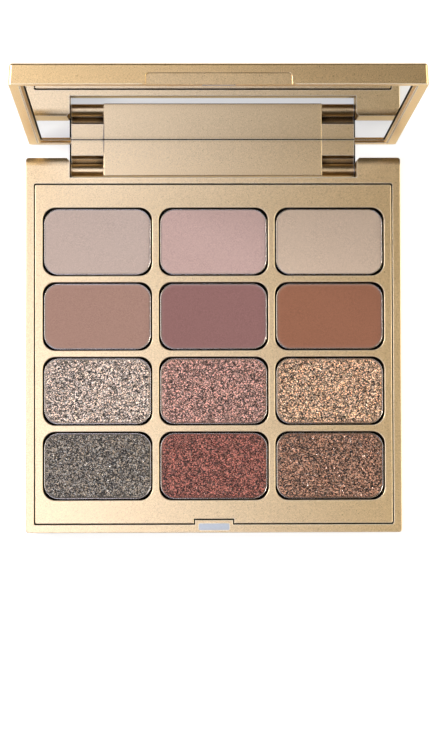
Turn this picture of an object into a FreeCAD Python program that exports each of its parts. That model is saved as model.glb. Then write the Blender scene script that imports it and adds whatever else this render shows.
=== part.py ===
"""Twelve-pan eyeshadow palette with a magnetic catch and a mirrored lid on one wide hinge leg.

Frame: the origin is the centre of the base's underside, +Z is up and -Y is the front, in
millimetres. The lid is drawn closed, flat on the base, and then turned back about the hinge
axis to OPEN_ANGLE, which is the rest pose and the open stop.
"""

import FreeCAD, Part
import math
import os

# ---- driving dimensions ------------------------------------------------------------------
BASE_SIDE = 100.0
BASE_HEIGHT = 10.0
BASE_DRAFT = 0.35            # how much each side draws in from the top edge to the underside
BASE_CORNER_R = 0.8
TOP_EDGE_R = 0.2
SEAM_EDGE_R = 0.12
BOTTOM_EDGE_R = 0.6
BLOCK_BACK_R = 4.2           # the two corner blocks roll over at the back
BLOCK_BACK_RUN = 2.2         # how far from the back face the roll begins
BLOCK_CHAMFER = 0.8
FLOOR = 1.4

SEAM = 0.3                   # open joint between the base rim and the pan tray
SEAM_HALF_X = 47.66
SEAM_FRONT_Y = -47.7
SEAM_BACK_Y = 42.85
SEAM_CORNER_R = 0.5

COLUMNS = 3
ROWS = 4
COLUMN_PITCH = 30.9
ROW_PITCH = 19.9
GRID_CENTRE_Y = -2.4
WELL_X = 29.15
WELL_Y = 18.2
WELL_DEPTH = 4.8
WELL_CORNER_R = 3.4
WELL_EDGE_R = 0.2
WELL_BOTTOM = 1.0            # thickness under a well
SKIRT = 1.5                  # the tray's hollow underside leaves this wall around it

PAN_GAP = 0.35               # between a pan and its well, on every side
PAN_CORNER_R = 3.9
PAN_WALL = 0.25
PAN_RIM_R = 0.11
PAN_HEIGHT = 4.1
POWDER_GAP = 0.02
POWDER_CROWN = 0.05          # pressed powder stands this much over the pan's rim
POWDER_EDGE_R = 0.3

NOTCH_HALF_X = 38.3
NOTCH_WALL_Y = 44.6
NOTCH_LIP = 1.2              # the notch's wall is set back below a lip this thick
NOTCH_SETBACK_Y = 43.4

CATCH_X = 8.04
CATCH_Y = 1.67
CATCH_CENTRE_Y = -48.42
CATCH_CORNER_R = 0.35
CATCH_DEPTH = 3.6
CATCH_FIT = 0.03
BOSS_HALF_X = 5.2            # the seam runs round a boss that holds the catch magnet
BOSS_SEAM_Y = -46.5

AXIS_Y = 47.27
AXIS_Z = 2.74
OPEN_ANGLE = 91.4
PIN_R = 0.8
PIN_RUNNING_FIT = 0.05
PIN_PRESS_FIT = 0.01
PIN_INNER_X = 30.6
PIN_OUTER_X = 43.2

LID_SIDE = 99.0
LID_HEIGHT = 5.1
LID_GAP = 0.1                # closed lid over the base
LID_DRAFT = 0.27
LID_CORNER_R = 0.8
LID_EDGE_R = 0.6
LID_ROOF = 1.3
LID_RIM = 2.35
LID_CAVITY_R = 0.5
FINGER_HALF_X = 17.2
FINGER_HEIGHT = 2.73
FINGER_DEPTH = 0.55
FINGER_CORNER_R = 0.9
FINGER_EDGE_R = 0.18

FRAME_GAP = 0.08             # hairline between the lid's rim and the mirror frame
FRAME_OPENING_HALF = 46.3
FRAME_STEP = 0.12            # the frame's edge sits this far behind the rim's face
FRAME_BEVEL_SHY = 0.1        # flat left at both edges of the frame's bevelled border
FRAME_CORNER_R = 0.45
POCKET_CORNER_R = 0.6
MIRROR_RECESS = 0.8
MIRROR_HALF = 45.8           # leaves an open line all round the glass
MIRROR_THICK = 1.8
MIRROR_CORNER_R = 0.5
TAPE_HALF = 44.0
TAPE_THICK = 0.3
TAPE_CORNER_R = 2.0

STRIKE_X = 8.0
STRIKE_Y = 1.2
STRIKE_CENTRE_Y = -48.1
STRIKE_DEPTH = 1.6
STRIKE_CORNER_R = 0.3

LEG_HALF_X = 38.05
LEG_PANEL_HALF_X = 29.35     # raised middle panel; the hinge knuckles lie outside it
LEG_RISE = 1.65              # panel face over the hinge axis when the lid is open
LEG_STEP = 0.3               # the outer parts lie this far below the panel
KNUCKLE_R = 1.65
COVE_NEAR = 1.9              # trough behind each knuckle, measured from the hinge axis
COVE_FAR = 3.9
COVE_FLOOR = 1.2             # trough's floor below the hinge axis when the lid is open
COVE_BEND = (1.7, 0.7)       # depth and run at which the trough's far slope eases
COVE_UNDERCUT = 0.4          # how far the trough reaches towards the knuckle's round
LEG_EDGE_R = 0.25
LEG_HEEL_R = 0.6
LEG_ROOT_HEIGHT = 2.9        # the leg's root stands this far up inside the lid
LEG_ROOT_GAP = 0.35          # between the root and the mirror's edge
LEG_ROOT_FIT = 0.02
LEG_MIRROR_GAP = 0.05        # between the leg's end and the glass

# ---- worked-out dimensions ---------------------------------------------------------------
HALF = BASE_SIDE / 2
LID_HALF = LID_SIDE / 2
LID_Z = BASE_HEIGHT + LID_GAP
LID_TOP = LID_Z + LID_HEIGHT
MIRROR_Z = LID_Z + MIRROR_RECESS
TAPE_Z = MIRROR_Z + MIRROR_THICK
FRAME_FLOOR_Z = TAPE_Z + TAPE_THICK
WELL_FLOOR_Z = BASE_HEIGHT - WELL_DEPTH
PAN_X = WELL_X - 2 * PAN_GAP
PAN_Y = WELL_Y - 2 * PAN_GAP
OVER = 1.0                   # how far a cutting tool runs past the face that it cuts


# ---- helpers -----------------------------------------------------------------------------
def vec(x, y, z):
    return FreeCAD.Vector(x, y, z)


def box(x0, x1, y0, y1, z0, z1):
    return Part.makeBox(x1 - x0, y1 - y0, z1 - z0, vec(x0, y0, z0))


def rounded_wire(x0, x1, y0, y1, r, z):
    """A rectangle with rounded corners, lying flat at height z."""
    k = r * (1 - math.sqrt(0.5))
    corners = [
        (vec(x1 - r, y0, z), vec(x1 - k, y0 + k, z), vec(x1, y0 + r, z)),
        (vec(x1, y1 - r, z), vec(x1 - k, y1 - k, z), vec(x1 - r, y1, z)),
        (vec(x0 + r, y1, z), vec(x0 + k, y1 - k, z), vec(x0, y1 - r, z)),
        (vec(x0, y0 + r, z), vec(x0 + k, y0 + k, z), vec(x0 + r, y0, z)),
    ]
    edges = []
    for i, (start, middle, end) in enumerate(corners):
        edges.append(Part.Arc(start, middle, end).toShape())
        edges.append(Part.LineSegment(end, corners[(i + 1) % 4][0]).toShape())
    return Part.Wire(edges)


def slab(x0, x1, y0, y1, z0, z1, r):
    """A flat block with rounded upright corners."""
    face = Part.Face(rounded_wire(x0, x1, y0, y1, r, z0))
    return face.extrude(vec(0, 0, z1 - z0))


def centred_slab(cx, cy, lx, ly, z0, z1, r):
    return slab(cx - lx / 2, cx + lx / 2, cy - ly / 2, cy + ly / 2, z0, z1, r)


def drafted(half_low, half_high, z0, z1, r):
    """A square block whose sides lean, with rounded upright corners."""
    low = rounded_wire(-half_low, half_low, -half_low, half_low, r, z0)
    high = rounded_wire(-half_high, half_high, -half_high, half_high, r, z1)
    return Part.makeLoft([low, high], True, True)


def along_x(points, half_x):
    """A block with the (y, z) outline given, running from -half_x to half_x."""
    wire = Part.makePolygon([vec(-half_x, y, z) for y, z in points + points[:1]])
    return Part.Face(wire).extrude(vec(2 * half_x, 0, 0))


def rod(r, x0, x1, y, z):
    return Part.makeCylinder(r, x1 - x0, vec(x0, y, z), vec(1, 0, 0))


def edges_where(shape, test):
    return [edge for edge in shape.Edges if test(edge.BoundBox)]


def flat_at(z):
    """Picks the edges that lie flat at height z."""
    return lambda b: abs(b.ZMin - z) < 1e-4 and abs(b.ZMax - z) < 1e-4


def rounded(shape, radius, test):
    return shape.makeFillet(radius, edges_where(shape, test))


def opened(shape):
    """Turns a piece of the closed lid back to the open rest pose."""
    turned = shape.copy()
    turned.rotate(vec(0, AXIS_Y, AXIS_Z), vec(1, 0, 0), -OPEN_ANGLE)
    return turned


def save(name, shape):
    assert shape.isValid(), name
    shape.exportStep(os.path.join("parts", name + ".step"))


# ---- base --------------------------------------------------------------------------------
def tray_outline(inset, z0, z1):
    """The tray's space, drawn in by inset from the seam's centre line, less the catch boss."""
    block = slab(
        -SEAM_HALF_X + inset,
        SEAM_HALF_X - inset,
        SEAM_FRONT_Y + inset,
        SEAM_BACK_Y - inset,
        z0,
        z1,
        SEAM_CORNER_R,
    )
    boss_half = BOSS_HALF_X + inset
    boss = box(-boss_half, boss_half, -HALF, BOSS_SEAM_Y + inset, z0 - OVER, z1 + OVER)
    return block.cut(boss)


def base_shell():
    body = drafted(HALF - BASE_DRAFT, HALF, 0, BASE_HEIGHT, BASE_CORNER_R)
    body = rounded(body, BOTTOM_EDGE_R, flat_at(0))
    body = rounded(body, TOP_EDGE_R, flat_at(BASE_HEIGHT))
    body = body.cut(back_rounding())
    body = body.cut(hinge_notch())
    body = body.cut(notch_setback())
    body = body.cut(tray_outline(-SEAM / 2, FLOOR, BASE_HEIGHT + OVER))
    body = rounded(body, SEAM_EDGE_R, on_seam)
    body = body.cut(catch_block(CATCH_FIT, OVER))
    for side in (-1, 1):
        x0, x1 = sorted((side * (NOTCH_HALF_X - OVER), side * (PIN_OUTER_X + PIN_RUNNING_FIT)))
        body = body.cut(rod(PIN_R + PIN_PRESS_FIT, x0, x1, AXIS_Y, AXIS_Z))
    return body.removeSplitter()


def on_seam(b):
    """Picks the rim's top edges along the seam."""
    x = SEAM_HALF_X + SEAM
    y = SEAM_BACK_Y + SEAM
    return flat_at(BASE_HEIGHT)(b) and b.XMax < x and b.XMin > -x and b.YMax < y and b.YMin > -x


def notch_setback():
    """What is cut away under the lip of the notch's wall."""
    x = NOTCH_HALF_X
    return box(-x, x, NOTCH_SETBACK_Y, NOTCH_WALL_Y + OVER, -OVER, BASE_HEIGHT - NOTCH_LIP)


def back_rounding():
    """What is cut away to roll over the top back edge of the corner blocks."""
    r = BLOCK_BACK_R
    y = HALF - BLOCK_BACK_RUN
    z = BASE_HEIGHT - r
    corner = box(-HALF - OVER, HALF + OVER, y, HALF + OVER, z, BASE_HEIGHT + OVER)
    return corner.cut(rod(r, -HALF - 2 * OVER, HALF + 2 * OVER, y, z))


def hinge_notch():
    """The space that the hinge leg swings in, open behind, above and below."""
    c = BLOCK_CHAMFER
    x = NOTCH_HALF_X
    back = HALF + OVER
    outline = [
        (-x, NOTCH_WALL_Y),
        (x, NOTCH_WALL_Y),
        (x, HALF - c),
        (x + c + OVER, back),
        (-x - c - OVER, back),
        (-x, HALF - c),
    ]
    wire = Part.makePolygon([vec(px, py, -OVER) for px, py in outline + outline[:1]])
    return Part.Face(wire).extrude(vec(0, 0, BASE_HEIGHT + 2 * OVER))


def catch_block(growth, over):
    z0 = BASE_HEIGHT - CATCH_DEPTH
    size = (CATCH_X + 2 * growth, CATCH_Y + 2 * growth)
    return centred_slab(0, CATCH_CENTRE_Y, *size, z0, BASE_HEIGHT + over, CATCH_CORNER_R)


def grid():
    """Each pan's row and column, counted from the back left, and its centre."""
    for row in range(ROWS):
        for column in range(COLUMNS):
            x = (column - (COLUMNS - 1) / 2) * COLUMN_PITCH
            y = GRID_CENTRE_Y + ((ROWS - 1) / 2 - row) * ROW_PITCH
            yield row + 1, column + 1, x, y


def pan_tray():
    tray = tray_outline(SEAM / 2, FLOOR, BASE_HEIGHT)
    for _, _, x, y in grid():
        tray = tray.cut(
            centred_slab(x, y, WELL_X, WELL_Y, WELL_FLOOR_Z, BASE_HEIGHT + OVER, WELL_CORNER_R)
        )
    tray = rounded(tray, WELL_EDGE_R, flat_at(BASE_HEIGHT))
    hollow = tray_outline(SEAM / 2 + SKIRT, FLOOR - OVER, WELL_FLOOR_Z - WELL_BOTTOM)
    return tray.cut(hollow)


def pan(x, y):
    z0 = WELL_FLOOR_Z
    outer = centred_slab(x, y, PAN_X, PAN_Y, z0, z0 + PAN_HEIGHT, PAN_CORNER_R)
    w = PAN_WALL
    size = (PAN_X - 2 * w, PAN_Y - 2 * w)
    inner = centred_slab(x, y, *size, z0 + w, z0 + PAN_HEIGHT + OVER, PAN_CORNER_R - w)
    return rounded(outer.cut(inner), PAN_RIM_R, flat_at(z0 + PAN_HEIGHT))


def powder(x, y):
    inset = PAN_WALL + POWDER_GAP
    z0 = WELL_FLOOR_Z + PAN_WALL
    z1 = WELL_FLOOR_Z + PAN_HEIGHT + POWDER_CROWN
    size = (PAN_X - 2 * inset, PAN_Y - 2 * inset)
    cake = centred_slab(x, y, *size, z0, z1, PAN_CORNER_R - inset)
    return rounded(cake, POWDER_EDGE_R, flat_at(z1))


def hinge_pin(side):
    x0, x1 = sorted((side * PIN_INNER_X, side * PIN_OUTER_X))
    return rod(PIN_R, x0, x1, AXIS_Y, AXIS_Z)


# ---- lid, drawn closed -------------------------------------------------------------------
def lid_envelope():
    body = drafted(LID_HALF, LID_HALF - LID_DRAFT, LID_Z, LID_TOP, LID_CORNER_R)
    return rounded(body, LID_EDGE_R, flat_at(LID_TOP))


def leg_root(growth):
    """The part of the hinge leg that fills a gap in the lid's back rim."""
    half_x = LEG_HALF_X + growth
    z1 = LID_Z + LEG_ROOT_HEIGHT + growth
    y0 = MIRROR_HALF + LEG_ROOT_GAP - growth
    return box(-half_x, half_x, y0, LID_HALF, LID_Z - growth, z1)


def lid_shell():
    h = LID_HALF - LID_RIM
    cavity = slab(-h, h, -h, h, LID_Z - OVER, LID_TOP - LID_ROOF, LID_CAVITY_R)
    body = lid_envelope().cut(cavity)
    body = body.cut(leg_root(LEG_ROOT_FIT))
    body = body.cut(finger_recess())
    body = rounded(body, FINGER_EDGE_R, on_finger_outline)
    body = body.cut(strike_block(CATCH_FIT, OVER))
    return body.removeSplitter()


def finger_recess():
    """A shallow hold for a fingertip in the lid's front wall, open at the parting edge."""
    z1 = LID_Z + FINGER_HEIGHT
    x = FINGER_HALF_X
    block = box(-x, x, -LID_HALF - OVER, -LID_HALF + FINGER_DEPTH, LID_Z - OVER, z1)
    return rounded(block, FINGER_CORNER_R, lambda b: b.YLength > OVER and flat_at(z1)(b))


def on_finger_outline(b):
    """Picks the finger recess's edges in the leaning front wall."""
    x = FINGER_HALF_X + 1e-3
    in_wall = b.YMax < -LID_HALF + LID_DRAFT and b.ZMin > LID_Z - 1e-3 and b.ZMax > LID_Z + 1e-3
    return in_wall and b.XMin > -x and b.XMax < x and b.ZMax < LID_Z + FINGER_HEIGHT + 1e-3


def strike_block(growth, over):
    size = (STRIKE_X + 2 * growth, STRIKE_Y + 2 * growth)
    z1 = LID_Z + STRIKE_DEPTH
    return centred_slab(0, STRIKE_CENTRE_Y, *size, LID_Z - over, z1, STRIKE_CORNER_R)


def mirror_frame():
    """A shallow carrier behind the mirror, with a bevelled border around it."""
    half = LID_HALF - LID_RIM - FRAME_GAP
    z0 = LID_Z + FRAME_STEP
    outer = slab(-half, half, -half, half, z0, LID_TOP - LID_ROOF, FRAME_CORNER_R)
    inner = FRAME_OPENING_HALF
    r = POCKET_CORNER_R
    pocket = slab(-inner, inner, -inner, inner, LID_Z - OVER, FRAME_FLOOR_Z, r)
    flare = half - FRAME_BEVEL_SHY
    low = rounded_wire(-flare, flare, -flare, flare, r, LID_Z)
    high = rounded_wire(-inner, inner, -inner, inner, r, MIRROR_Z - FRAME_BEVEL_SHY)
    bevel = Part.makeLoft([low, high], True, True)
    return outer.cut(pocket).cut(bevel).cut(leg_root(LEG_ROOT_FIT))


def mirror():
    h = MIRROR_HALF
    return slab(-h, h, -h, h, MIRROR_Z, MIRROR_Z + MIRROR_THICK, MIRROR_CORNER_R)


def mirror_tape():
    h = TAPE_HALF
    return slab(-h, h, -h, h, TAPE_Z, TAPE_Z + TAPE_THICK, TAPE_CORNER_R)


def hinge_leg():
    """The leg hangs from the lid's back edge; its knuckles turn on the pins in the base."""
    panel_y = AXIS_Y - LEG_RISE
    foot_z = AXIS_Z - KNUCKLE_R
    top_z = MIRROR_Z - LEG_MIRROR_GAP
    leg = leg_sides(panel_y + LEG_STEP, foot_z, top_z)
    panel = box(-LEG_PANEL_HALF_X, LEG_PANEL_HALF_X, panel_y, LID_HALF, foot_z, top_z)
    panel = rounded(panel, LEG_EDGE_R, lambda b: b.YMax < panel_y + 1e-4 and b.ZMin < top_z - 1e-4)
    leg = leg.fuse(panel).fuse(leg_root(0).common(lid_envelope()))
    for side in (-1, 1):
        x0, x1 = sorted((side * (PIN_INNER_X - PIN_RUNNING_FIT), side * (LEG_HALF_X + OVER)))
        leg = leg.cut(rod(PIN_R + PIN_RUNNING_FIT, x0, x1, AXIS_Y, AXIS_Z))
    leg = leg.removeSplitter()
    return rounded(leg, LEG_HEEL_R, lambda b: b.XLength > LEG_HALF_X and heel(b, foot_z))


def heel(b, foot_z):
    return b.ZMax < foot_z + 1e-4 and b.YMin > LID_HALF - 1e-4


def leg_sides(face_y, foot_z, top_z):
    """The leg's outer parts: a flat, a trough and a round knuckle on each side."""
    cove_y = AXIS_Y + COVE_FLOOR
    far_z = AXIS_Z + COVE_FAR
    near_z = AXIS_Z + COVE_NEAR
    depth, run = COVE_BEND
    outline = [
        (face_y, top_z),
        (face_y, far_z),
        (face_y + depth, far_z - run),
        (cove_y, near_z - COVE_UNDERCUT),
        (AXIS_Y, near_z - COVE_UNDERCUT),
        (AXIS_Y, foot_z),
        (LID_HALF, foot_z),
        (LID_HALF, top_z),
    ]
    body = along_x(outline, LEG_HALF_X)
    return body.fuse(rod(KNUCKLE_R, -LEG_HALF_X, LEG_HALF_X, AXIS_Y, AXIS_Z))


# ---- the whole palette -------------------------------------------------------------------
def main():
    os.makedirs("parts", exist_ok=True)
    save("base_shell", base_shell())
    save("pan_tray", pan_tray())
    save("catch_magnet", catch_block(0, 0))
    for row, column, x, y in grid():
        save(f"pan_{row}{column}", pan(x, y))
        save(f"powder_{row}{column}", powder(x, y))
    save("hinge_pin_left", hinge_pin(-1))
    save("hinge_pin_right", hinge_pin(1))
    save("lid_shell", opened(lid_shell()))
    save("mirror_frame", opened(mirror_frame()))
    save("mirror_tape", opened(mirror_tape()))
    save("mirror", opened(mirror()))
    save("catch_strike", opened(strike_block(0, 0)))
    save("hinge_leg", opened(hinge_leg()))


main()
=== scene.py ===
"""Looks of the eyeshadow palette: satin gold compact, mirror, matte and glittering powders.

Lengths are in metres, apart from those said to be in mm, which are multiplied by MM where
they are used.
"""

import math
import random

import bmesh
import bpy
from mathutils import Matrix, Vector, noise


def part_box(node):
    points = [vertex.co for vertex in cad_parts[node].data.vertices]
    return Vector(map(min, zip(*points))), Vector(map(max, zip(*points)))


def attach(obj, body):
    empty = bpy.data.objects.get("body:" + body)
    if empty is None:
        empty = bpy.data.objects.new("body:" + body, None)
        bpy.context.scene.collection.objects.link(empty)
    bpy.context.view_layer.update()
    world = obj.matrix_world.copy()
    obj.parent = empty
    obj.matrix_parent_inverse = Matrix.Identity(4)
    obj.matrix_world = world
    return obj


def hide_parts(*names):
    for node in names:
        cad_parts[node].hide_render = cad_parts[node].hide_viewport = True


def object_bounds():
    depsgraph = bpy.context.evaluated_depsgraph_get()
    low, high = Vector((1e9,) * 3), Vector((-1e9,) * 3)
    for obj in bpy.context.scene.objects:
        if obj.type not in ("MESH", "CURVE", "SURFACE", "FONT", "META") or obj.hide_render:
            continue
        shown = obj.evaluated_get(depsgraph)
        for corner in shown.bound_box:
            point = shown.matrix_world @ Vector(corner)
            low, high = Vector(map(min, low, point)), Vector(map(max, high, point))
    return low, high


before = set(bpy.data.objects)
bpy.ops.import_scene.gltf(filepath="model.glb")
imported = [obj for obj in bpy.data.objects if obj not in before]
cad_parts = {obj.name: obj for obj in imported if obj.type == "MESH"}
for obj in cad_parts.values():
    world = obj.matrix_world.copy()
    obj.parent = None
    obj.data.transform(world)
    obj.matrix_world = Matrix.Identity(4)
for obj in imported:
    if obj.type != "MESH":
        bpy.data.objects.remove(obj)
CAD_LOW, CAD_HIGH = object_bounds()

MM = 0.001

# ---- camera: above the palette, a little left of its middle ------------------------------
CAMERA_AT = (-11.5 * MM, -35.0 * MM, 750.6 * MM)
CAMERA_TURN = (2.1, -0.987, -0.115)      # degrees about X, Y and Z, applied Z first
LENS = 134.1

# ---- powders: pan, look, colour, and the two tints that its sparkle runs between -----------
POWDERS = {
    "11": ("matte", (0.525, 0.420, 0.385), None),
    "12": ("matte", (0.535, 0.378, 0.362), None),
    "13": ("matte", (0.600, 0.475, 0.385), None),
    "21": ("matte", (0.372, 0.228, 0.190), None),
    "22": ("matte", (0.272, 0.140, 0.138), None),
    "23": ("matte", (0.296, 0.130, 0.081), None),
    "31": ("glitter", (0.434, 0.361, 0.309), ((1.1, 0.95, 0.85), (0.95, 1.0, 1.1))),
    "32": ("shimmer", (0.376, 0.231, 0.191), ((1.15, 0.9, 0.85), (1.0, 1.05, 1.15))),
    "33": ("glitter", (0.468, 0.305, 0.205), ((1.15, 0.92, 0.75), (0.92, 1.05, 1.2))),
    "41": ("glitter", (0.165, 0.144, 0.124), ((1.15, 1.0, 0.8), (0.85, 0.98, 1.15))),
    "42": ("shimmer", (0.250, 0.089, 0.069), ((1.1, 0.9, 0.85), (0.95, 1.1, 1.1))),
    "43": ("glitter", (0.242, 0.127, 0.084), ((1.1, 0.95, 0.85), (0.9, 1.05, 1.15))),
}
# Grid spacing and relief in mm, and for sparkling looks the number of flakes and how far they
# tip, in degrees.
GRAIN = {
    "matte": {"spacing": 0.45, "relief": 0.006},
    "shimmer": {"spacing": 0.35, "relief": 0.016, "flakes": 3500, "tilt": 24},
    "glitter": {"spacing": 0.30, "relief": 0.030, "flakes": 5000, "tilt": 32},
}
# Size in mm of the specks in the powder itself, and how dark and bright they get; the specks are
# partly the powder's own varied tone, and the brightest, at several times its colour, are painted
# glints.
SPARKLE = {
    "shimmer": {"cell": 0.25, "dark": 0.06, "bright": 3.2},
    "glitter": {"cell": 0.25, "dark": 0.0, "bright": 3.6},
}

CAKE_CORNER = 3.6 * MM
BREAK = 0.40 * MM          # width of the softly broken edge
BREAK_DROP = 0.16 * MM
BREAK_WAVE = 1.2 * MM      # length of the edge's ragged waves
EDGE_STOPS = (0.0, 0.06, 0.14, 0.25)  # mm
DUST_REACH = 0.18 * MM     # how fast the pale dust along the edge fades inwards
SLOW_WAVE = 7 * MM
FINE_WAVE = 0.45 * MM
SLOW_RELIEF = 0.010        # mm
FLAKE_SIZE = (0.07 * MM, 0.15 * MM)
FLAKE_SINK = 0.02 * MM
FLAKE_DEPTH = 0.09 * MM
FLAKE_MARGIN = 0.35 * MM   # flakes keep this far from the cake's edge

# ---- finishes ----------------------------------------------------------------------------
GOLD = (0.85, 0.63, 0.35)
# Painted highlight: edges turn towards this pale gold.
EDGE_HIGHLIGHT_GOLD = (1.0, 0.92, 0.78)
# Painted shade: near-black, matte and not metallic, for wells, joints and the leg's end.
GAP_SHADE_BLACK = (0.008, 0.006, 0.005)
# Painted shade: hollows darken towards this share of the gold's colour.
HOLLOW_SHADE_GOLD = 0.2            # brightness of the gold at the bottom of a hollow
EDGE_HIGHLIGHT_REACH = 0.38           # mm
EDGE_HIGHLIGHT_LIMITS = (0.94, 0.999)  # cosine between the true and the widely rounded surface
HOLLOW_REACH = 2.5         # mm
HOLLOW_LIMITS = (0.30, 0.62)  # share of open surroundings

# ---- places on the CAD nodes, in mm --------------------------------------------------------
BASE_TOP = 10.0
WELL_SHADE_DROP = 0.30           # the wells are near-black painted shade from this far under the base's top
# the joint round the tray is near-black painted shade from this far under the base's top
SEAM_SHADE_DROP = 0.18
SEAM_SIDE = 47.95
SEAM_BACK = 43.1
HOLD_HALF = 18.0
HOLD_LOW = 96.8
LEG_END = 55.33
NOTCH_HALF = 38.6
LEG_SHADE = (44.9, 45.5)   # the ground turns dark between these, going back,
LEG_SHADE_END = 56.0       # and is pale again behind this

# ---- studio: name, place, aim, size, brightness, colour ----------------------------------
OVERHEAD = 0.95
LAMPS = (
    ("over_left", (-0.18, -0.15, OVERHEAD), (-0.18, -0.15, 0), (0.3, 0.62), 3.85, (0.67, 0.73, 1.0)),
    ("over_far_left", (-0.55, -0.15, OVERHEAD), (-0.55, -0.15, 0), (0.3, 0.9), 1.2, (0.72, 0.80, 1.0)),
    ("over_back", (-0.20, 0.42, OVERHEAD), (-0.20, 0.42, 0), (0.3, 0.2), 3.3, (1.0, 0.92, 0.82)),
    ("over_right", (0.5, -0.10, OVERHEAD), (0.5, -0.10, 0), (0.6, 0.6), 0.7, (1.0, 0.78, 0.1)),
    ("key_left", (-0.85, 0.3, 0.65), (0, 0, 0), (0.36, 0.36), 22.0, (1.0, 0.98, 0.96)),
    ("side_right", (0.95, 0.0, 0.6), (0, 0, 0), (0.9, 0.8), 3.6, (1.0, 0.95, 0.80)),
)
ROOM_TINT = (1.0, 0.72, 0.40)
ROOM_LEVEL = 0.08
FLOOR_REACH = 4.0
FLOOR_DROP = 0.0005 * MM   # under the palette, so that the two don't share a plane
FLOOR_COLOUR = (0.55, 0.55, 0.55)
FLOOR_SHADE = (0.02, 0.02, 0.025)
FLOOR_GLOW = 0.75


# ---- node helpers ------------------------------------------------------------------------
class Surface:
    """A material's node tree, with short calls to add and join nodes."""

    def __init__(self, name):
        self.material = bpy.data.materials.new(name)
        self.material.use_nodes = True
        self.tree = self.material.node_tree
        self.shader = self.tree.nodes["Principled BSDF"]
        self.place = self.node("ShaderNodeTexCoord").outputs["Object"]

    def node(self, kind, **settings):
        made = self.tree.nodes.new(kind)
        for key, value in settings.items():
            setattr(made, key, value)
        return made

    def join(self, output, socket):
        self.tree.links.new(output, socket)

    def fixed(self, **values):
        for key, value in values.items():
            self.shader.inputs[key.replace("_", " ")].default_value = value

    def drive(self, name, output):
        self.join(output, self.shader.inputs[name])

    def noise(self, size_mm, detail=2.0, roughness=0.5):
        made = self.node("ShaderNodeTexNoise")
        made.inputs["Scale"].default_value = 1 / (size_mm * MM)
        made.inputs["Detail"].default_value = detail
        made.inputs["Roughness"].default_value = roughness
        self.join(self.place, made.inputs["Vector"])
        return made.outputs["Fac"]

    def cells(self, size_mm):
        made = self.node("ShaderNodeTexVoronoi")
        made.inputs["Scale"].default_value = 1 / (size_mm * MM)
        self.join(self.place, made.inputs["Vector"])
        return made

    def spread(self, output, low, high, start=0.0, end=1.0):
        made = self.node("ShaderNodeMapRange")
        made.inputs["From Min"].default_value = start
        made.inputs["From Max"].default_value = end
        made.inputs["To Min"].default_value = low
        made.inputs["To Max"].default_value = high
        self.join(output, made.inputs["Value"])
        return made.outputs["Result"]

    def math(self, operation, a, b):
        made = self.node("ShaderNodeMath", operation=operation)
        for socket, value in zip(made.inputs, (a, b)):
            if isinstance(value, (int, float)):
                socket.default_value = value
            else:
                self.join(value, socket)
        return made.outputs[0]

    def mix(self, factor, a, b, blend="MIX"):
        made = self.node("ShaderNodeMix", data_type="RGBA", blend_type=blend)
        sockets = [made.inputs[i] for i in (0, 6, 7)]
        for socket, value in zip(sockets, (factor, a, b)):
            if isinstance(value, (int, float)):
                socket.default_value = value
            elif isinstance(value, tuple):
                socket.default_value = (*value, 1.0)
            else:
                self.join(value, socket)
        return made.outputs[2]

    def place_axis(self, axis):
        made = self.node("ShaderNodeSeparateXYZ")
        self.join(self.place, made.inputs[0])
        return made.outputs[axis]

    def within(self, half_mm):
        """1 where x lies within half_mm of the middle, 0 outside."""
        across = self.math("ABSOLUTE", self.place_axis("X"), 0)
        return self.math("LESS_THAN", across, half_mm * MM)

    def below(self, height_mm):
        """1 under the height, 0 over it, with a 0.1 mm blend."""
        return self.spread(self.place_axis("Z"), 1, 0, (height_mm - 0.1) * MM, height_mm * MM)

    def edges(self, reach_mm):
        """0 on flats, rising to 1 along sharp and softly rounded edges."""
        wide = self.node("ShaderNodeBevel", samples=6)
        wide.inputs["Radius"].default_value = reach_mm * MM
        true_normal = self.node("ShaderNodeNewGeometry").outputs["Normal"]
        agree = self.node("ShaderNodeVectorMath", operation="DOT_PRODUCT")
        self.join(wide.outputs["Normal"], agree.inputs[0])
        self.join(true_normal, agree.inputs[1])
        return self.spread(agree.outputs["Value"], 1, 0, *EDGE_HIGHLIGHT_LIMITS)

    def crevice_shade(self, reach_mm):
        """0 in the open, rising to 1 in narrow hollows."""
        open_air = self.node("ShaderNodeAmbientOcclusion", samples=8)
        open_air.inputs["Distance"].default_value = reach_mm * MM
        return self.spread(open_air.outputs["AO"], 1, 0, *HOLLOW_LIMITS)

    def mix_value(self, factor, a, b):
        made = self.node("ShaderNodeMix", data_type="FLOAT")
        for socket, value in zip([made.inputs[i] for i in (0, 2, 3)], (factor, a, b)):
            if isinstance(value, (int, float)):
                socket.default_value = value
            else:
                self.join(value, socket)
        return made.outputs[0]

    def bump(self, height, depth_mm, strength=1.0, normal=None):
        made = self.node("ShaderNodeBump")
        made.inputs["Strength"].default_value = strength
        made.inputs["Distance"].default_value = depth_mm * MM
        self.join(height, made.inputs["Height"])
        if normal is not None:
            self.join(normal, made.inputs["Normal"])
        return made.outputs["Normal"]


def scaled(colour, by):
    return tuple(min(1.0, c * by) for c in colour)


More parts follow.
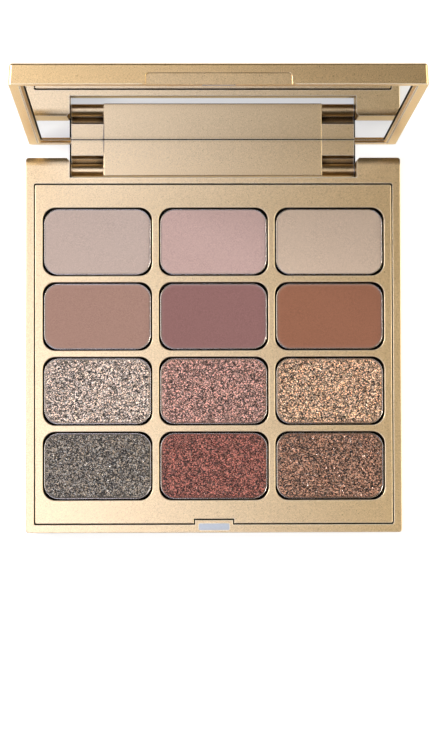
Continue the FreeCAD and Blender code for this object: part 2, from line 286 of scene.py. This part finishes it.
# ---- materials ---------------------------------------------------------------------------
def satin_gold(name, gap_shade=None, no_highlight=None):
    """Fine blasted, gold-plated satin, with a painted highlight along its edges and painted shade in
    its crevices.

    Its first mask picks where near-black painted shade goes, and its second where the edges get no
    painted highlight.
    """
    s = Surface(name)
    grain = s.noise(0.26, detail=3.0, roughness=0.65)
    drift = s.noise(40.0, detail=1.0)
    base = s.mix(s.spread(grain, 0, 1, 0.32, 0.68), scaled(GOLD, 0.80), scaled(GOLD, 1.20))
    base = s.mix(s.spread(drift, 0.0, 0.3), base, scaled(GOLD, 0.97))
    # Painted highlight: along edges the gold turns pale and less metallic.
    edge_highlight = s.edges(EDGE_HIGHLIGHT_REACH)
    if no_highlight is not None:
        edge_highlight = s.math("MULTIPLY", edge_highlight, s.spread(no_highlight(s), 1, 0))
    # Painted shade: the gold darkens in crevices and hollows.
    base = s.mix(s.crevice_shade(HOLLOW_REACH), base, scaled(GOLD, HOLLOW_SHADE_GOLD))
    base = s.mix(edge_highlight, base, EDGE_HIGHLIGHT_GOLD)
    metal = s.spread(edge_highlight, 1.0, 0.15)
    rough = s.spread(grain, 0.27, 0.37, 0.3, 0.7)
    if gap_shade is not None:
        # Painted shade: near-black, matte and not metallic where this mask is 1.
        mask = gap_shade(s)
        base = s.mix(mask, base, GAP_SHADE_BLACK)
        rough = s.mix_value(mask, rough, 0.8)
        metal = s.mix_value(mask, metal, 0.0)
    s.drive("Base Color", base)
    s.drive("Metallic", metal)
    s.drive("Roughness", rough)
    s.drive("Normal", s.bump(s.noise(0.20, detail=2.0), 0.005, 1.0))
    s.fixed(Specular_Tint=(0.80, 0.71, 0.56, 1.0))
    return s.material


def shade_in_wells(s):
    """Painted shade: the tray is near-black inside its wells and down its sides."""
    return s.below(BASE_TOP - WELL_SHADE_DROP)


def shade_in_seam(s):
    """Painted shade: the base is near-black inside the joint round the tray."""
    back = s.math("LESS_THAN", s.place_axis("Y"), SEAM_BACK * MM)
    front = s.math("GREATER_THAN", s.place_axis("Y"), -SEAM_SIDE * MM)
    inside = s.math("MULTIPLY", s.math("MULTIPLY", s.within(SEAM_SIDE), back), front)
    return s.math("MULTIPLY", inside, s.below(BASE_TOP - SEAM_SHADE_DROP))


def finger_hold(s):
    """The outline of the finger recess gets no painted edge highlight."""
    high = s.math("GREATER_THAN", s.place_axis("Z"), HOLD_LOW * MM)
    return s.math("MULTIPLY", s.within(HOLD_HALF), high)


def shade_at_glass(s):
    """Painted shade: the leg is near-black from the mirror's face backwards."""
    return s.math("GREATER_THAN", s.place_axis("Y"), LEG_END * MM)


def mirror_glass():
    s = Surface("mirror_glass")
    s.fixed(Metallic=1.0, Base_Color=(0.55, 0.56, 0.58, 1.0))
    smear = s.noise(9.0, detail=4.0)
    s.drive("Roughness", s.spread(smear, 0.004, 0.012, 0.4, 0.8))
    return s.material


def tinplate():
    s = Surface("pan_tinplate")
    s.fixed(Metallic=1.0)
    rolled = s.noise(0.3, detail=3.0)
    s.drive("Base Color", s.mix(rolled, (0.42, 0.38, 0.34), (0.78, 0.72, 0.66)))
    s.drive("Roughness", s.spread(rolled, 0.18, 0.30))
    return s.material


def nickel():
    s = Surface("nickel_plate")
    s.fixed(Metallic=1.0)
    grain = s.noise(0.35, detail=3.0)
    s.drive("Base Color", s.mix(grain, (0.50, 0.53, 0.54), (0.64, 0.68, 0.69)))
    s.drive("Roughness", s.spread(grain, 0.35, 0.5))
    s.drive("Normal", s.bump(grain, 0.006))
    return s.material


def steel():
    s = Surface("pin_steel")
    s.fixed(Metallic=1.0)
    drawn = s.noise(0.2, detail=2.0)
    s.drive("Base Color", s.mix(drawn, (0.45, 0.45, 0.46), (0.62, 0.62, 0.63)))
    s.drive("Roughness", s.spread(drawn, 0.25, 0.4))
    return s.material


def tape_foam():
    s = Surface("tape_black")
    pores = s.cells(0.4).outputs["Distance"]
    s.drive("Base Color", s.mix(pores, (0.015, 0.015, 0.017), (0.05, 0.05, 0.055)))
    s.drive("Normal", s.bump(pores, 0.03))
    s.fixed(Roughness=0.9)
    return s.material


def tinted(colour, tint):
    return tuple(min(1.0, c * t) for c, t in zip(colour, tint))


def dusty_edge(s, body, colour, lighter):
    """Lightens the powder where it thins out against the pan's wall."""
    rim = s.node("ShaderNodeAttribute", attribute_name="rim").outputs["Fac"]
    return s.mix(rim, body, tuple(c + (1 - c) * lighter for c in colour))


def matte_powder(name, colour):
    s = Surface(name)
    fine = s.noise(0.22, detail=4.0, roughness=0.7)
    patches = s.noise(5.0, detail=2.0)
    body = s.mix(s.spread(fine, 0, 1, 0.35, 0.65), scaled(colour, 0.80), scaled(colour, 1.20))
    body = s.mix(s.spread(patches, 0, 0.5, 0.35, 0.65), body, scaled(colour, 1.03))
    s.drive("Base Color", dusty_edge(s, body, colour, 0.14))
    s.drive("Normal", s.bump(fine, 0.03))
    s.drive("Roughness", s.spread(fine, 0.85, 1.0))
    s.fixed(Specular_IOR_Level=0.2)
    return s.material


def random_channels(s, cell_mm):
    """Three random values for each small cell of the surface."""
    split = s.node("ShaderNodeSeparateColor")
    s.join(s.cells(cell_mm).outputs["Color"], split.inputs["Color"])
    return split.outputs[0], split.outputs[1], split.outputs[2]


def grey(s, value):
    made = s.node("ShaderNodeCombineColor")
    for socket in made.inputs:
        s.join(value, socket)
    return made.outputs[0]


def sparkling_powder(name, look, colour, tints):
    s = Surface(name)
    kind = SPARKLE[look]
    light, hue, metal = random_channels(s, kind["cell"])
    body = s.mix(hue, tinted(colour, tints[0]), tinted(colour, tints[1]))
    # Painted glints: the brightest specks raise the colour to several times the powder's own.
    glint_level = s.spread(s.math("POWER", light, 2.6), kind["dark"], kind["bright"])
    body = s.mix(1.0, body, grey(s, glint_level), blend="MULTIPLY")
    s.drive("Base Color", dusty_edge(s, body, colour, 0.02))
    s.drive("Metallic", s.spread(metal, 0.0, 0.7, 0.6, 0.7))
    s.drive("Roughness", s.spread(hue, 0.35, 0.6))
    s.drive("Normal", s.bump(light, 0.06))
    return s.material


def flake_metal(name, colour, tints):
    s = Surface(name)
    light, hue, polish = random_channels(s, 0.3)
    bright = scaled(colour, 1.3)
    body = s.mix(hue, tinted(bright, tints[0]), tinted(bright, tints[1]))
    s.drive("Base Color", s.mix(s.spread(light, 0.0, 0.6), body, (0.9, 0.88, 0.85)))
    s.drive("Roughness", s.spread(polish, 0.15, 0.35))
    s.fixed(Metallic=1.0)
    return s.material


# ---- pressed powder ----------------------------------------------------------------------
def from_edge(x, y, low, high):
    """How far a point lies inside the cake's rounded outline."""
    dx = abs(x - (low.x + high.x) / 2) - ((high.x - low.x) / 2 - CAKE_CORNER)
    dy = abs(y - (low.y + high.y) / 2) - ((high.y - low.y) / 2 - CAKE_CORNER)
    outside = math.hypot(max(dx, 0), max(dy, 0)) + min(max(dx, dy), 0)
    return CAKE_CORNER - outside


def stops(low, high, spacing):
    """Grid lines from low to high: close together at both ends, even between."""
    near = [s * MM for s in EDGE_STOPS]
    inner_low, inner_high = low + BREAK, high - BREAK
    count = max(2, round((inner_high - inner_low) / spacing))
    even = [inner_low + (inner_high - inner_low) * k / count for k in range(count + 1)]
    return [low + n for n in near] + even + [high - n for n in reversed(near)]


def into_outline(x, y, low, high):
    """Moves a point that lies off a rounded corner back onto it."""
    d = from_edge(x, y, low, high)
    if d >= 0:
        return x, y
    cx = min(max(x, low.x + CAKE_CORNER), high.x - CAKE_CORNER)
    cy = min(max(y, low.y + CAKE_CORNER), high.y - CAKE_CORNER)
    k = CAKE_CORNER / (CAKE_CORNER - d)
    return cx + (x - cx) * k, cy + (y - cy) * k


def relief(x, y, amount, seed):
    """Height of the pressed surface: slow unevenness and fine grain."""
    slow = noise.noise(Vector((x / SLOW_WAVE, y / SLOW_WAVE, seed)))
    fine = noise.noise(Vector((x / FINE_WAVE, y / FINE_WAVE, seed + 9)))
    return (SLOW_RELIEF * slow + amount * fine - SLOW_RELIEF - amount) * MM


def cake_height(x, y, low, high, amount, seed):
    d = max(from_edge(x, y, low, high), 0.0)
    t = max(0.0, 1 - d / BREAK)
    ragged = 1 + 0.35 * noise.noise(Vector((x / BREAK_WAVE, y / BREAK_WAVE, seed + 4)))
    return high.z + relief(x, y, amount, seed) - BREAK_DROP * ragged * t * t


def pressed_cake(name, look, seed):
    """A closed cake of powder with a softly broken edge, as large as its CAD solid."""
    low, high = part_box(name)
    grain = GRAIN[look]
    xs = stops(low.x, high.x, grain["spacing"] * MM)
    ys = stops(low.y, high.y, grain["spacing"] * MM)
    bm = bmesh.new()
    rows = []
    for y in ys:
        row = []
        for x in xs:
            px, py = into_outline(x, y, low, high)
            z = cake_height(px, py, low, high, grain["relief"], seed)
            row.append(bm.verts.new((px, py, z)))
        rows.append(row)
    for j in range(len(ys) - 1):
        for i in range(len(xs) - 1):
            bm.faces.new((rows[j][i], rows[j][i + 1], rows[j + 1][i + 1], rows[j + 1][i]))
    right = [row[-1] for row in rows[1:]]
    left = [row[0] for row in rows[-2:0:-1]]
    around = [*rows[0], *right, *rows[-1][-2::-1], *left]
    foot = [bm.verts.new((v.co.x, v.co.y, low.z)) for v in around]
    count = len(around)
    for i in range(count):
        j = (i + 1) % count
        bm.faces.new((foot[i], foot[j], around[j], around[i]))
    bm.faces.new(list(reversed(foot)))
    bmesh.ops.remove_doubles(bm, verts=bm.verts, dist=1e-7)
    return finish_cake(name, bm, low, high)


def finish_cake(name, bm, low, high):
    mesh = bpy.data.meshes.new(name + "_pressed")
    bm.to_mesh(mesh)
    bm.free()
    mesh.polygons.foreach_set("use_smooth", [True] * len(mesh.polygons))
    rim = mesh.attributes.new("rim", "FLOAT", "POINT")
    inside = [max(from_edge(v.co.x, v.co.y, low, high), 0.0) for v in mesh.vertices]
    rim.data.foreach_set("value", [math.exp(-d / DUST_REACH) for d in inside])
    made = bpy.data.objects.new(name + "_pressed", mesh)
    bpy.context.scene.collection.objects.link(made)
    return made


def add_flake(points, faces, centre, turn, size, sides, ceiling):
    """One flat flake with a shallow point under it, so that it is a closed solid."""
    start = len(points)
    for k in range(sides):
        a = math.tau * k / sides
        p = centre + turn @ Vector((size * math.cos(a), size * math.sin(a), 0))
        points.append((p.x, p.y, min(p.z, ceiling)))
    foot = centre - Vector((0, 0, FLAKE_DEPTH))
    points.append(tuple(foot))
    faces.append(range(start, start + sides))
    for k in range(sides):
        faces.append((start + (k + 1) % sides, start + k, start + sides))


def flakes(name, look, seed):
    """Mica flakes set in the powder's surface, each tipped its own way and closed below."""
    low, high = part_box(name)
    grain = GRAIN[look]
    rnd = random.Random(seed)
    points, faces = [], []
    made = 0
    while made < grain["flakes"]:
        x = rnd.uniform(low.x, high.x)
        y = rnd.uniform(low.y, high.y)
        if from_edge(x, y, low, high) < FLAKE_MARGIN:
            continue
        size = rnd.uniform(*FLAKE_SIZE)
        tilt = math.radians(grain["tilt"]) * rnd.random() ** 0.7
        turn = Matrix.Rotation(rnd.uniform(0, math.tau), 3, "Z") @ Matrix.Rotation(tilt, 3, "X")
        centre = Vector((x, y, high.z + relief(x, y, grain["relief"], seed) - FLAKE_SINK))
        sides = rnd.choice((5, 6))
        add_flake(points, faces, centre, turn, size, sides, high.z)
        made += 1
    mesh = bpy.data.meshes.new(name + "_flakes")
    mesh.from_pydata(points, [], faces)
    bits = bpy.data.objects.new(name + "_flakes", mesh)
    bpy.context.scene.collection.objects.link(bits)
    return bits


def make_powders():
    for number, (code, (look, colour, tints)) in enumerate(POWDERS.items()):
        name = "powder_" + code
        cake = pressed_cake(name, look, number)
        if look == "matte":
            cake.data.materials.append(matte_powder(name, colour))
        else:
            cake.data.materials.append(sparkling_powder(name, look, colour, tints))
        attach(cake, "base")
        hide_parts(name)
        if look != "matte":
            bits = flakes(name, look, number)
            bits.data.materials.append(flake_metal(name + "_flakes", colour, tints))
            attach(bits, "base")


# ---- carried-over CAD nodes --------------------------------------------------------------
def dress(material, *nodes):
    for node in nodes:
        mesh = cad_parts[node].data
        mesh.materials.clear()
        mesh.materials.append(material)


def dress_nodes():
    dress(satin_gold("base_gold", shade_in_seam), "base_shell")
    dress(satin_gold("tray_gold", shade_in_wells), "pan_tray")
    dress(satin_gold("lid_gold", no_highlight=finger_hold), "lid_shell")
    dress(satin_gold("frame_gold"), "mirror_frame")
    dress(satin_gold("leg_gold", shade_at_glass), "hinge_leg")
    dress(mirror_glass(), "mirror")
    dress(tape_foam(), "mirror_tape")
    dress(nickel(), "catch_magnet", "catch_strike")
    dress(steel(), "hinge_pin_left", "hinge_pin_right")
    dress(tinplate(), *["pan_" + code for code in POWDERS])


# ---- stage -------------------------------------------------------------------------------
def under_the_leg(s):
    """A painted shadow on the ground, below where the hinge leg lies in the open pose."""
    near, far = LEG_SHADE
    front = s.spread(s.place_axis("Y"), 0, 1, near * MM, far * MM)
    back = s.math("LESS_THAN", s.place_axis("Y"), LEG_SHADE_END * MM)
    return s.math("MULTIPLY", s.math("MULTIPLY", s.within(NOTCH_HALF), front), back)


def make_floor():
    mesh = bpy.data.meshes.new("floor")
    z = CAD_LOW.z - FLOOR_DROP
    corners = [(x * FLOOR_REACH, y * FLOOR_REACH, z) for x, y in ((-1, -1), (1, -1), (1, 1), (-1, 1))]
    mesh.from_pydata(corners, [], [(0, 1, 2, 3)])
    floor = bpy.data.objects.new("floor", mesh)
    bpy.context.scene.collection.objects.link(floor)
    s = Surface("floor_white")
    s.fixed(Roughness=0.9, Specular_IOR_Level=0.0)
    s.fixed(Emission_Color=(0.95, 0.97, 1.0, 1.0))
    under = under_the_leg(s)
    s.drive("Emission Strength", s.mix_value(under, FLOOR_GLOW, 0.0))
    s.drive("Base Color", s.mix(under, FLOOR_COLOUR, FLOOR_SHADE))
    mesh.materials.append(s.material)


def softbox(name, place, aim, size, brightness, colour):
    """A rectangular lamp; brightness is the radiance of its face, whatever its size."""
    data = bpy.data.lights.new(name, "AREA")
    data.shape = "RECTANGLE"
    data.size, data.size_y = size
    data.energy = brightness * math.pi * size[0] * size[1]
    data.color = colour
    lamp = bpy.data.objects.new(name, data)
    lamp.location = place
    lamp.rotation_euler = (Vector(aim) - Vector(place)).to_track_quat("-Z", "Y").to_euler()
    bpy.context.scene.collection.objects.link(lamp)


def make_lights():
    for lamp in LAMPS:
        softbox(*lamp)
    world = bpy.data.worlds.new("room")
    world.use_nodes = True
    sky = world.node_tree.nodes["Background"]
    sky.inputs["Color"].default_value = (*ROOM_TINT, 1.0)
    sky.inputs["Strength"].default_value = ROOM_LEVEL
    bpy.context.scene.world = world


def make_camera():
    data = bpy.data.cameras.new("camera")
    data.lens = LENS
    camera = bpy.data.objects.new("camera", data)
    camera.location = CAMERA_AT
    camera.rotation_mode = "ZYX"
    camera.rotation_euler = [math.radians(a) for a in CAMERA_TURN]
    bpy.context.scene.collection.objects.link(camera)
    bpy.context.scene.camera = camera
    bpy.context.scene.view_settings.view_transform = "Standard"


make_camera()
make_floor()
make_lights()
dress_nodes()
make_powders()
